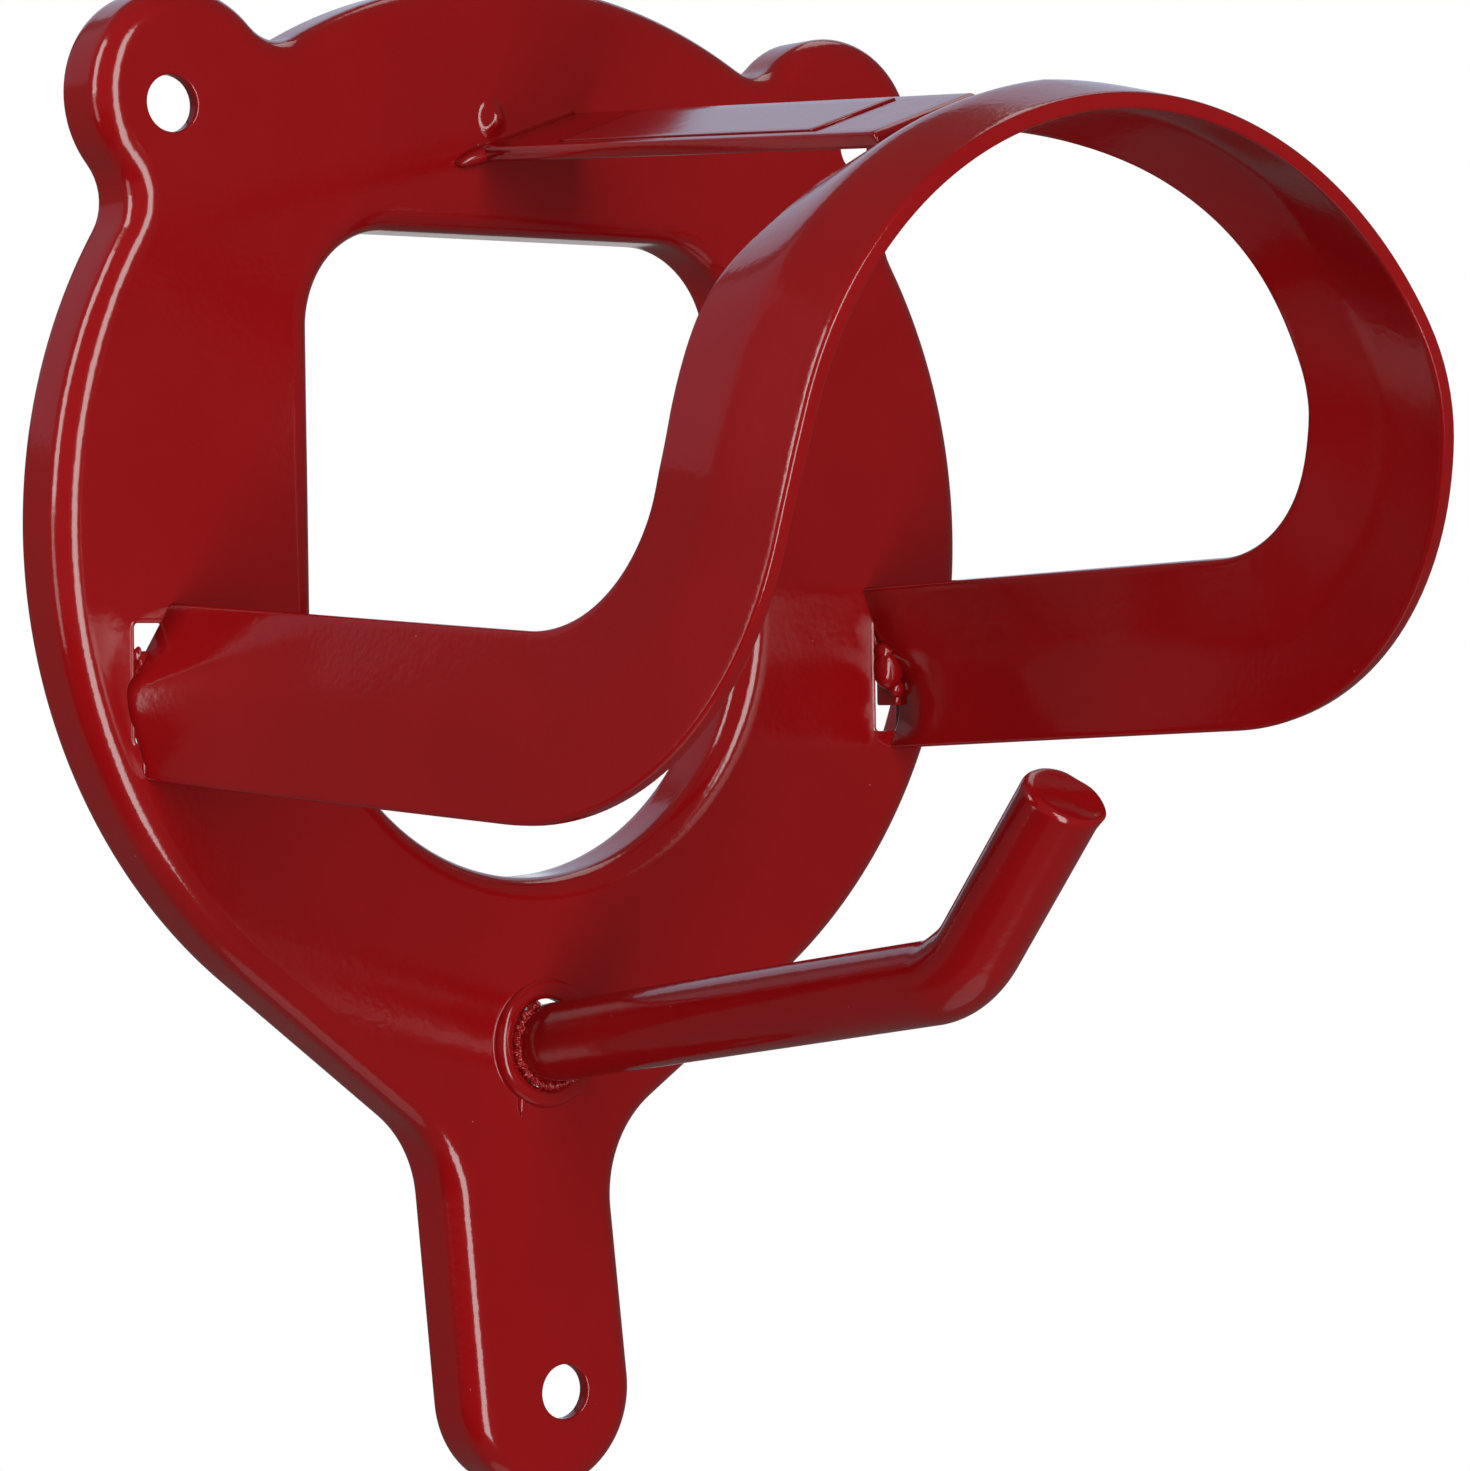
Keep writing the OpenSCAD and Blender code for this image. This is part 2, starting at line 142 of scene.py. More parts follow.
def buildPeel():
    # orange peel: fine noise for the flow of the powder, broader noise for its waviness
    g = bpy.data.node_groups.new("coatPeel", "ShaderNodeTree")
    socket(g, "Fine", "NodeSocketFloat")
    socket(g, "Broad", "NodeSocketFloat")
    socket(g, "Height", "NodeSocketFloat", out=True)
    gin, gout = addNode(g, "NodeGroupInput"), addNode(g, "NodeGroupOutput")
    where = addNode(g, "ShaderNodeTexCoord")
    fine = addNode(g, "ShaderNodeTexNoise", {"Detail": 1.0})
    broad = addNode(g, "ShaderNodeTexNoise", {"Detail": 2.0})
    both = addNode(g, "ShaderNodeMath", {1: coatGrain["broadShare"]}, operation="MULTIPLY_ADD")
    link = g.links.new
    link(where.outputs["Object"], fine.inputs["Vector"])
    link(where.outputs["Object"], broad.inputs["Vector"])
    link(gin.outputs["Fine"], fine.inputs["Scale"])
    link(gin.outputs["Broad"], broad.inputs["Scale"])
    link(broad.outputs["Fac"], both.inputs[0])
    link(fine.outputs["Fac"], both.inputs[2])
    link(both.outputs[0], gout.inputs["Height"])
    return g


def buildTone():
    # paint tone: soft clouds between two tones, and a few dust specks
    g = bpy.data.node_groups.new("coatTone", "ShaderNodeTree")
    for name in ("Deep", "Light", "Speck"):
        socket(g, name, "NodeSocketColor")
    socket(g, "Clouds", "NodeSocketFloat")
    socket(g, "Dust", "NodeSocketFloat")
    socket(g, "Color", "NodeSocketColor", out=True)
    socket(g, "Cloud", "NodeSocketFloat", out=True)
    gin, gout = addNode(g, "NodeGroupInput"), addNode(g, "NodeGroupOutput")
    where = addNode(g, "ShaderNodeTexCoord")
    clouds = addNode(g, "ShaderNodeTexNoise", {"Detail": 4.0, "Roughness": 0.6})
    cells = addNode(g, "ShaderNodeTexVoronoi", feature="F1")
    dot = {"From Min": coatGrain["dotEdge"], "From Max": coatGrain["dotCore"]}
    near = addNode(g, "ShaderNodeMapRange", dot, clamp=True)     # a small dot round each cell's centre
    rare = {1: coatGrain["dustRare"]}     # only a few of the cells hold a speck
    pick = addNode(g, "ShaderNodeMath", rare, operation="GREATER_THAN")
    speck = addNode(g, "ShaderNodeMath", operation="MULTIPLY")
    parts = addNode(g, "ShaderNodeSeparateColor")
    tone = addNode(g, "ShaderNodeMix", data_type="RGBA")
    dusted = addNode(g, "ShaderNodeMix", data_type="RGBA")
    link = g.links.new
    link(where.outputs["Object"], clouds.inputs["Vector"])
    link(where.outputs["Object"], cells.inputs["Vector"])
    link(gin.outputs["Clouds"], clouds.inputs["Scale"])
    link(gin.outputs["Dust"], cells.inputs["Scale"])
    link(cells.outputs["Distance"], near.inputs["Value"])
    link(cells.outputs["Color"], parts.inputs[0])
    link(parts.outputs[0], pick.inputs[0])
    link(near.outputs["Result"], speck.inputs[0])
    link(pick.outputs[0], speck.inputs[1])
    link(clouds.outputs["Fac"], tone.inputs["Factor"])
    link(gin.outputs["Deep"], tone.inputs["A"])
    link(gin.outputs["Light"], tone.inputs["B"])
    link(speck.outputs[0], dusted.inputs["Factor"])
    link(tone.outputs["Result"], dusted.inputs["A"])
    link(gin.outputs["Speck"], dusted.inputs["B"])
    link(dusted.outputs["Result"], gout.inputs["Color"])
    link(clouds.outputs["Fac"], gout.inputs["Cloud"])
    return g


peelGroup, toneGroup = buildPeel(), buildTone()


def coatMaterial(name, deep, light, speck, roughness, peel, clouds):
    # gloss powder coat: tone group on the colour, peel group on the bump, roughness a little cloudy
    m = bpy.data.materials.new(name)
    m.use_nodes = True
    tree = m.node_tree
    link = tree.links.new
    shader = tree.nodes["Principled BSDF"]
    tones = {"Deep": rgba(deep), "Light": rgba(light), "Speck": rgba(speck),
             "Clouds": clouds, "Dust": coatGrain["dust"]}
    tone = addNode(tree, "ShaderNodeGroup", tones, node_tree=toneGroup)
    grains = {"Fine": coatGrain["fine"], "Broad": coatGrain["broad"]}
    peels = addNode(tree, "ShaderNodeGroup", grains, node_tree=peelGroup)
    sway = coatGrain["roughSway"]
    roughs = {"To Min": roughness * (1 - sway), "To Max": roughness * (1 + sway)}
    rough = addNode(tree, "ShaderNodeMapRange", roughs)
    bump = addNode(tree, "ShaderNodeBump", {"Strength": peel, "Distance": coatGrain["bumpDepth"]})
    link(tone.outputs["Color"], shader.inputs["Base Color"])
    link(tone.outputs["Cloud"], rough.inputs["Value"])
    link(rough.outputs["Result"], shader.inputs["Roughness"])
    link(peels.outputs["Height"], bump.inputs["Height"])
    link(bump.outputs["Normal"], shader.inputs["Normal"])
    return m


coat = coatMaterial("redPowderCoat", **coatTones)
film = coatMaterial("bareLabelFilm", **filmTones)
print("finishes built")


# back plate: edges are profiles carried along loops, and the flat sheet between them is triangulated
plate = {"bodyR": 71.94, "bodyDrop": 53.0, "sheet": 2.0, "depth": 9.5, "rim": 3.5, "foot": 0.45,
         "earR": 13.4, "earX": 51.8, "earZ": 1.5, "notchR": 6.0, "waistR": 7.0,
         "tabW": 26.26, "tabDrop": 165.0, "tabX": 0.8, "neckX": 1.6, "filletR": 15.0, "filletDrop": 140.0,
         "screwX": 55.0, "screwR": 3.55, "tabHoleX": 2.2, "holeEdge": 0.4,
         "windowW": 68.6, "windowTop": 14.2, "windowCornerR": 13.0, "windowRoundDrop": 63.5,
         "slotLeft": -59.2, "slotRight": 58.5, "slotW": 5.0, "slotH": 15.0, "slotCorner": 0.6, "legDrop": 72.0,
         "hookDrop": 119.4, "hookHoleR": 5.85, "collarRise": 1.5, "collarR": 1.25, "collarFoot": 0.35,
         "flat": 1.0, "fullSide": (0.85, 0.53), "fade": 0.75,
         "step": 1.0, "seedPitch": 3.2, "seedClear": 1.4, "wave": 0.1, "waveLength": 55.0, "waveReach": 12.0}


def meetingPoint(c1, r1, c2, r2, side):
    # where two circles cross, left (1) or right (-1) of the line between their centres
    v = c2 - c1
    length = np.hypot(*v)
    a = (r1 * r1 - r2 * r2 + length * length) / (2 * length)
    e = v / length
    return c1 + a * e + side * np.sqrt(r1 * r1 - a * a) * np.array([-e[1], e[0]])


def chainLoop(chain, step):
    # closed loop of tangent arcs, each circle given as (x, z, radius) and hollow ones negative. Every arc turns
    # from the normal of the line that arrives to that of the line that leaves; lines and arcs share one step
    c, r = np.array([q[:2] for q in chain], float), np.array([q[2] for q in chain], float)
    v = np.roll(c, -1, 0) - c
    swing = np.arccos(np.clip((r - np.roll(r, -1)) / np.hypot(v[:, 0], v[:, 1]), -1, 1))
    leave = np.arctan2(v[:, 1], v[:, 0]) - swing
    arrive = np.roll(leave, 1)
    turn = np.where(r > 0, (leave - arrive) % (2 * np.pi), -((arrive - leave) % (2 * np.pi)))
    bases, normals = [], []
    for k in range(len(chain)):
        fine = min(step, 0.35 * abs(r[k]) + 0.05)     # small circles are cut finer
        n = max(4, int(np.ceil(abs(turn[k] * r[k]) / fine)))
        a = arrive[k] + turn[k] * np.linspace(0, 1, n + 1)
        unit = np.stack([np.cos(a), np.sin(a)], -1)
        arc = c[k] + r[k] * unit
        after = (k + 1) % len(chain)
        ahead = c[after] + r[after] * unit[-1]
        gap = np.hypot(*(ahead - arc[-1]))
        m = int(np.ceil(gap / step)) if gap > 0.02 else 0
        f = np.arange(1, m)[:, None] / max(m, 1)
        keep = slice(None) if m else slice(None, -1)
        bases += [arc[keep], arc[-1] + (ahead - arc[-1]) * f]
        normals += [unit[keep], np.repeat(unit[-1:], len(f), 0)]
    return np.concatenate(bases), np.concatenate(normals)


def roundLoop(x, z, r, n):
    # a hole's edge, run clockwise, its normal towards the centre
    a = -np.linspace(0, 2 * np.pi, n, endpoint=False)
    unit = np.stack([np.cos(a), np.sin(a)], -1)
    return np.array([x, z]) + r * unit, -unit


def arcProfile(c, r, a0, a1, n):
    a = np.radians(np.linspace(a0, a1, n))
    return np.stack([c[0] + r * np.cos(a), c[1] + r * np.sin(a)], -1)


# a profile runs from the front sheet to the back sheet, as distance in from the edge and height above the wall

def rimProfile():
    # front flat, quarter roll, skirt, rounded foot, and back inside
    d, r, t, b = plate["depth"], plate["rim"], plate["sheet"], plate["foot"]
    heights = np.array([4.4, 3.0, 1.5])
    skirt = np.stack([np.zeros(3), heights], -1)
    inner = np.stack([np.full(3, t), heights[::-1]], -1)
    roll, innerRoll = arcProfile((r, d - r), r, 90, 180, 13), arcProfile((r, d - r), r - t, 180, 90, 8)
    foot = [arcProfile((b, b), b, 180, 270, 4), arcProfile((t - b, b), b, 270, 360, 4)]
    front, back = [[r + 0.5, d], [r + 0.2, d]], [[r + 0.2, d - t], [r + 0.5, d - t]]
    return np.concatenate([front, roll, skirt, *foot, inner, innerRoll, back])


def holeProfile():
    # rounded front lip, bore, rounded back lip
    d, t, b, e = plate["depth"], plate["sheet"], plate["holeEdge"], plate["flat"]
    return np.concatenate([[[b + e, d], [b + e / 3, d]], arcProfile((b, d - b), b, 90, 180, 6),
                           arcProfile((b, d - t + b), b, 180, 270, 6), [[b + e / 3, d - t], [b + e, d - t]]])


def slotProfile():
    # as a punched hole, with the coat standing up in a thin lip at the front
    d, t, b = plate["depth"], plate["sheet"], 0.3
    lip = [[0.6, d], [0.52, d + 0.04], [0.42, d + 0.14], [0.28, d + 0.19], [0.13, d + 0.14], [0.03, d]]
    return np.concatenate([lip, [[0, d - b]], arcProfile((b, d - t + b), b, 180, 270, 5), [[0.6, d - t]]])


def collarProfile():
    # the hook's hole is drawn forwards: a foot fillet, a round crest, then the bore and the plain back face
    d, t, b, foot = plate["depth"], plate["sheet"], plate["holeEdge"], plate["collarFoot"]
    h, r = plate["collarRise"], plate["collarR"]
    base = 2 * r + foot
    wide = base + plate["flat"] + 0.6
    return np.concatenate([[[wide, d], [base + 0.3, d]], arcProfile((base, d + foot), foot, 270, 190, 6),
                           arcProfile((r, d + h - r), r, 8, 180, 17), [[0, d - 0.5]],
                           arcProfile((b, d - t + b), b, 180, 270, 4), [[base, d - t], [wide, d - t]]])


def plateEdges():
    # loop, normals and profile of every edge: outline, window, screw holes, slots and hook hole
    p = plate
    body, ear = np.array([0, -p["bodyDrop"]]), np.array([p["earX"], p["earZ"]])
    notch = meetingPoint(body, p["bodyR"] + p["notchR"], ear, p["earR"] + p["notchR"], 1)
    waist = meetingPoint(body, p["bodyR"] + p["waistR"], ear, p["earR"] + p["waistR"], -1)
    flip = np.array([-1, 1])
    disc = (*body, p["bodyR"])
    right = [(*waist, -p["waistR"]), (*ear, p["earR"]), (*notch, -p["notchR"])]
    left = [(*(notch * flip), -p["notchR"]), (*(ear * flip), p["earR"]), (*(waist * flip), -p["waistR"])]
    fx = p["tabW"] / 2 + p["filletR"]
    tab = [(-fx - p["neckX"], -p["filletDrop"], -p["filletR"]), (p["tabX"], -p["tabDrop"], p["tabW"] / 2),
           (fx - p["neckX"], -p["filletDrop"], -p["filletR"])]
    cr = p["windowCornerR"]
    cx, cz = p["windowW"] / 2 - cr, -p["windowTop"] - cr
    window = [(-cx, cz, -cr), (cx, cz, -cr), (0, -p["windowRoundDrop"], -p["windowW"] / 2)]
    outline = [disc, *right, disc, *left, disc, *tab]
    edges = [(*chainLoop(chain, p["step"]), rimProfile()) for chain in (outline, window)]
    for x, z in ((-p["screwX"], 0), (p["screwX"], 0), (p["tabHoleX"], -p["tabDrop"])):
        edges.append((*roundLoop(x, z, p["screwR"], 72), holeProfile()))
    sc = p["slotCorner"]
    sw, sh = p["slotW"] / 2 - sc, p["slotH"] / 2 - sc
    for x in (p["slotLeft"], p["slotRight"]):
        corners = [(x + i * sw, -p["legDrop"] + k * sh, -sc) for i, k in ((-1, 1), (1, 1), (1, -1), (-1, -1))]
        edges.append((*chainLoop(corners, p["step"] / 2), slotProfile()))
    edges.append((*roundLoop(0, -p["hookDrop"], p["hookHoleR"], 96), collarProfile()))
    return edges


def sweepEdges(edges):
    # every profile carried round its loop: points, quads, and the numbers of each loop's front and back points
    d = plate["depth"]
    points, faces, fronts, backs, count = [], [], [], [], 0
    for base, normal, profile in edges:
        n, m = len(base), len(profile)
        place = base[:, None, :] - profile[None, :, :1] * normal[:, None, :]
        low = 0.5 - 0.5 * (normal @ np.array(plate["fullSide"]))     # what stands up fades to the lower right
        above = np.maximum(profile[None, :, 1] - d, 0) * (1 - plate["fade"] * smooth(low * 1.3))[:, None]
        height = np.minimum(profile[None, :, 1], d + above)
        points.append(np.stack([place[..., 0], d - height, place[..., 1]], -1).reshape(-1, 3))
        faces.append(gridQuads(n, m, closeRows=True) + count)
        fronts.append(count + np.arange(n) * m)
        backs.append(count + np.arange(n) * m + m - 1)
        count += n * m
    return np.concatenate(points), faces, fronts, backs


def insideLoop(p, loop):
    # crossings of a ray to the right: odd means inside
    a, b = loop, np.roll(loop, -1, 0)
    up = (a[None, :, 1] > p[:, None, 1]) != (b[None, :, 1] > p[:, None, 1])
    dz = np.where(b[:, 1] == a[:, 1], 1e-9, b[:, 1] - a[:, 1])
    x = a[:, 0] + (p[:, None, 1] - a[:, 1]) / dz * (b[:, 0] - a[:, 0])
    return (np.sum(up & (p[:, None, 0] < x), 1) % 2) == 1


def inSheet(p, loops):
    return insideLoop(p, loops[0]) & ~np.any([insideLoop(p, q) for q in loops[1:]], 0)


def nearest(p, ring):
    return np.min(np.hypot(*(p[:, None] - ring[None]).transpose(2, 0, 1)), 1)


def sheetSeeds(loops):
    # staggered grid of points in the sheet, clear of every loop, with the distance of each to the nearest one
    pitch = plate["seedPitch"]
    gx, gz = np.meshgrid(np.arange(-76, 76, pitch), np.arange(-182, 22, pitch * 0.866))
    gx = gx + (np.arange(gx.shape[0]) % 2)[:, None] * pitch / 2
    seeds = np.stack([gx.ravel(), gz.ravel()], -1)
    clear = np.concatenate([nearest(s, np.concatenate(loops)) for s in np.array_split(seeds, 12)])
    kept = inSheet(seeds, loops) & (clear > plate["seedClear"])
    return seeds[kept], clear[kept]


def buildPlate():
    points, faces, fronts, backs = sweepEdges(plateEdges())
    count = len(points)
    loops = [points[f][:, [0, 2]] for f in fronts]
    seeds, clear = sheetSeeds(loops)
    ring = np.concatenate(loops)
    starts = np.cumsum([0] + [len(q) for q in loops])
    after = [(np.arange(len(q)) + 1) % len(q) for q in loops]
    links = [s + np.stack([np.arange(len(a)), a], -1) for s, a in zip(starts, after)]
    made = delaunay_2d_cdt(np.concatenate([ring, seeds]).tolist(), np.concatenate(links).tolist(), [], 0, 1e-6)
    spots, tris = np.array([list(v) for v in made[0]]), np.array([list(f) for f in made[2]])
    origin = np.array([o[0] if o else -1 for o in made[3]])
    tris = tris[inSheet(spots[tris].mean(1), loops)]
    e1, e2 = spots[tris[:, 1]] - spots[tris[:, 0]], spots[tris[:, 2]] - spots[tris[:, 0]]
    wrong = e1[:, 0] * e2[:, 1] - e1[:, 1] * e2[:, 0] < 0
    tris[wrong] = tris[wrong][:, ::-1]
    # seeds become new points, front and back; ring points are shared with the edges
    ringNumber, seedNumber = np.clip(origin, 0, len(ring) - 1), origin - len(ring)
    frontIndex = np.where(seedNumber < 0, np.concatenate(fronts)[ringNumber], count + seedNumber)
    backIndex = np.where(seedNumber < 0, np.concatenate(backs)[ringNumber], count + len(seeds) + seedNumber)
    sheetFront = np.stack([seeds[:, 0], np.zeros(len(seeds)), seeds[:, 1]], -1)
    points = np.concatenate([points, sheetFront, sheetFront + [0, plate["sheet"], 0]])
    edgeGap = np.concatenate([np.zeros(count), np.tile(clear, 2)])
    # slight unevenness of the pressed sheet, none at its edges
    wave = plate["wave"] * smooth(edgeGap / plate["waveReach"])
    points[:, 1] += wave * ripple(points[:, [0, 2]], plate["waveLength"], 4)
    faces += [frontIndex[tris], backIndex[tris][:, ::-1]]
    makePiece("plate", points, faces, "back_plate", "powder_coat", coat)


buildPlate()


# arch band: a strip with rounded edges carried from the left leg over the crown to the right leg
band = {"width": 22.3, "thick": 2.0, "edge": 0.5, "reach": 95.7, "innerBend": 24.0, "outerBend": 49.0,
        "archR": 51.6, "lean": 8.4, "rise": 14.9, "legDrop": 72.0, "spread": 0.053, "turnAtPlate": 1.18,
        "turnGain": 0.05, "shiftAtPlate": 0.4, "shiftGain": 0.02, "dropGain": 0.02,
        "cup": 1.9, "legCup": 0.8, "fold": 0.15, "crownDip": 0.8, "shoulder": 0.9, "shoulderAt": 0.38,
        "shoulderOver": 0.12, "pinch": 1.9, "pinchAt": 30.0, "pinchOver": 18.0,
        "tongueLeft": -60.35, "tongueRight": 59.7, "tongueH": 10.4, "tongueT": 1.7, "tongueEdge": 0.35}
dish = {"left": 3.9, "leftReach": 38.0, "leftFade": 2.3, "ridgeClimb": 0.29, "ridgeSoft": 0.8, "below": 9.0,
        "right": 2.0, "rightAt": -4.2, "rightOver": 5.0, "rightReach": 16.0, "rightFade": 2.2}
lean = np.radians(band["lean"])
riseStart = (band["rise"] + band["archR"] * np.sin(lean)) / np.cos(lean)
crownHeight = riseStart + band["archR"] * (np.pi / 2 - lean)
frontReach = band["reach"] + band["width"]
sideFoot = band["archR"] / np.cos(lean) + band["rise"] * np.tan(lean)


def bandPoint(side, u, s, off, rear):
    # strip coordinates to space: forward u, unrolled height s, offset off from mid sheet, rear 1 at the rear
    # edge and 0 at the front. The side leans in straight up to riseStart and then follows the arch's circle,
    # and the whole turns and shifts a little with u
    b = band
    share = np.maximum(0, (s - riseStart) / (crownHeight - riseStart))
    # the rear edge stands out at the foot of the arch and in at its crown, it bulges at the left shoulder, and
    # the right side's is drawn in above its bend
    wander = np.sin(2 * np.pi * share) - b["crownDip"] * smooth((share - 0.6) / 0.4)
    wander = wander + np.where(side < 0, b["shoulder"] * bell(share, b["shoulderAt"], b["shoulderOver"]), 0)
    pinch = np.where(side > 0, b["pinch"] * bell(s, b["pinchAt"], b["pinchOver"]), 0)
    # the strip is hollowed on the inside: two nearly flat halves with a soft fold between, least on the legs
    # and most at the crown
    fold = np.sqrt((2 * rear - 1) ** 2 + b["fold"] ** 2) - b["fold"]
    depth = b["legCup"] + b["cup"] * smooth((share - 0.2) / 0.6)
    hollow = depth * (1 - fold / (np.sqrt(1 + b["fold"] ** 2) - b["fold"]))
    o = off + rear * (wander * smooth(share / 0.1) - pinch) + hollow
    a, r = lean + (s - riseStart) / b["archR"], b["archR"] + o
    x = np.where(s < riseStart, sideFoot - s * np.sin(lean) + o * np.cos(lean), r * np.cos(a))
    z = np.where(s < riseStart, s * np.cos(lean) + o * np.sin(lean), b["rise"] + r * np.sin(a))
    x = side * x * (1 + b["spread"] * (1 - u / frontReach))
    t = np.radians(b["turnAtPlate"] + b["turnGain"] * u)
    return np.stack([x * np.cos(t) - z * np.sin(t) + b["shiftAtPlate"] + b["shiftGain"] * u, -u,
                     x * np.sin(t) + z * np.cos(t) - b["dropGain"] * u - b["legDrop"]], -1)


def halfStations():
    # rear edge and front edge of the strip at each station: leg, edgewise bend, then up to the crown
    w, ri, ro = band["width"], band["innerBend"], band["outerBend"]
    f = (np.linspace(0, 1, 60)[:-1] ** 1.5)[:, None]
    g = np.linspace(0, 1, 90)[1:, None]
    a = np.linspace(0, np.pi / 2, 43)
    arc = np.stack([np.sin(a), -np.cos(a)], -1)
    edges = []
    for reach, r, foot in ((band["reach"], ri, w / 2), (frontReach, ro, -w / 2)):
        c = np.array([reach - r, foot + r])
        leg = np.concatenate([f * c[0], np.full_like(f, foot)], 1)
        climb = np.concatenate([np.full_like(g, reach), c[1] * (1 - g) + crownHeight * g], 1)
        edges.append(np.concatenate([leg, c + r * arc, climb]))
    return edges


def stripSection(width, thick, edge, across):
    # rounded rectangle run once round: share across the strip from rear 0 to front 1, and offset from mid sheet
    h, e = thick / 2, edge / width
    face = np.linspace(e, 1 - e, across)
    a = np.radians(np.linspace(90, 0, 5))[1:]
    front, rear, up = 1 - e + e * np.cos(a), e - e * np.cos(a), h - edge + edge * np.sin(a)
    share = np.concatenate([face, front, front[::-1], [1 - e], face[::-1][1:], rear, rear[::-1]])
    off = np.concatenate([np.full(across, h), up, -up[::-1], [-h], np.full(across - 1, -h), -up, up[::-1]])
    return share, off


def rootDish(side, u, s):
    # the leg's end is dressed over to its slot. On the left a ridge leaves the tab and climbs along the leg as
    # it dies away, flat up to the top edge and hollow below; on the right only the lower half is set over
    if side > 0:
        away = np.clip(1 - u / dish["rightReach"], 0, 1) ** dish["rightFade"]
        return dish["right"] * np.exp(-((s - dish["rightAt"]) / dish["rightOver"]) ** 4) * away
    ridge = dish["ridgeClimb"] * u
    crest = dish["left"] * np.clip(1 - u / dish["leftReach"], 0, 1) ** dish["leftFade"]
    above = np.clip(1 - (s - ridge) / np.maximum(band["width"] / 2 - ridge, 1), 0, 1)
    below = bell(np.maximum(ridge - s, 0), 0, dish["below"])
    turn = 0.5 + 0.5 * np.tanh((s - ridge) / dish["ridgeSoft"])
    return crest * (above * turn + below * (1 - turn))


def buildArch():
    rearEdge, frontEdge = halfStations()
    share, off = stripSection(band["width"], band["thick"], band["edge"], 33)
    us = rearEdge[:, None] * (1 - share[None, :, None]) + frontEdge[:, None] * share[None, :, None]
    u, s = us[..., 0], us[..., 1]
    halves = [bandPoint(side, u, s, off[None] + rootDish(side, u, s), 1 - share[None]) for side in (-1, 1)]
    shells = [tube(np.concatenate([halves[0], halves[1][-2::-1]]))]
    way = np.array([0.7, 0.3, 0.0, -0.8, -1.6, -2.4, -3.2])[:, None]     # the tabs, through the slots
    ring, lift = stripSection(band["tongueH"], band["tongueT"], band["tongueEdge"], 5)
    for side, middle in ((-1, band["tongueLeft"]), (1, band["tongueRight"])):
        foot = bandPoint(side, np.zeros(len(way)), np.zeros(len(way)), 0.0, 0.0)
        x = np.repeat(middle + side * lift[None], len(way), 0)
        z = foot[:, 2:] + (0.5 - ring[None]) * band["tongueH"]
        shells.append(tube(np.stack([x, np.repeat(-way, len(ring), 1), z], -1)))
    makePiece("archStrip", *joined(shells), "arch_band", "powder_coat", coat)


buildArch()


# brace strap and its bare label; the strap's far end rests on the rear edge of the crown
strap = {"width": 16.4, "thick": 2.0, "edge": 0.45, "tilt": 19.5, "near": (-1.0, 0.0, -1.5), "angle": 9.0,
         "lift": 1.8, "endR": 1.2, "endTurn": 84, "endSink": 0.9,
         "labelW": 13.0, "labelT": 0.2, "labelEdge": 0.08, "labelFrom": 0.2, "labelTo": 0.84}
strapNear = np.array(strap["near"])
farHeight = crownHeight - np.radians(strap["angle"]) * band["archR"]
strapFar = bandPoint(-1, np.array(band["reach"]), np.array(farHeight), strap["lift"], 1.0)
tilt = np.radians(strap["tilt"])
strapSide, strapUp = np.array([np.cos(tilt), 0, np.sin(tilt)]), np.array([-np.sin(tilt), 0, np.cos(tilt)])
strapAxes = np.stack([strapSide, [0, 1, 0], strapUp])


def strapBlock(along, width, thick, edge, lift, sink=0.0):
    # rounded rectangle carried along the straight line of the strap; its upper side sinks at the rounded end
    share, off = stripSection(width, thick, edge, 11)
    spine = strapNear * (1 - along[:, None]) + strapFar * along[:, None]
    height = off[None] + lift - np.broadcast_to(sink, along.shape)[:, None] * (off > 0)[None]
    return tube(spine[:, None] + (share - 0.5)[None, :, None] * width * strapSide + height[..., None] * strapUp)


def buildStrap():
    endShare = strap["endR"] / band["reach"]
    turn = np.radians(np.linspace(0, strap["endTurn"], 9))     # rounded on top, where the weld was dressed
    straight = np.linspace(0, 1, 48)[:-1] * (1 - endShare)
    along = np.concatenate([straight, 1 - endShare * (1 - np.sin(turn))])
    sink = np.concatenate([np.zeros(len(straight)), strap["endSink"] * (1 - np.cos(turn))])
    shell = strapBlock(along, strap["width"], strap["thick"], strap["edge"], 0.0, sink)
    makePiece("braceStrap", *shell, "top_strap", "powder_coat", coat)


def buildLabel():
    along = np.linspace(strap["labelFrom"], strap["labelTo"], 40)
    lift = strap["thick"] / 2 + strap["labelT"] / 2
    shell = strapBlock(along, strap["labelW"], strap["labelT"], strap["labelEdge"], lift)
    makePiece("bareLabel", *shell, "strap_label", "label_film", film)


buildStrap()
buildLabel()


# rein hook: a round bar carried along its bent axis, cut off roughly at the end
hook = {"r": 5.15, "rise": 7.5, "reach": 84.2, "upturn": 49.0, "upturnL": 29.0, "bendR": 14.0, "back": 4.5,
        "drop": 119.4, "swell": 0.25, "worn": 4.0, "rim": 0.85, "rimSway": 0.4, "rimTurn": 45,
        "burr": 0.3, "burrTurn": 316, "burrOver": 0.35, "nick": 0.4, "nickTurn": 34, "nickOver": 0.3,
        "dent": 0.2, "dentAt": (0.35, -0.55), "dentOver": 0.3, "grain": 0.025,
        "endRings": (0.995, 0.97, 0.93, 0.88, 0.8, 0.68, 0.54, 0.4, 0.26, 0.12, 0.03)}


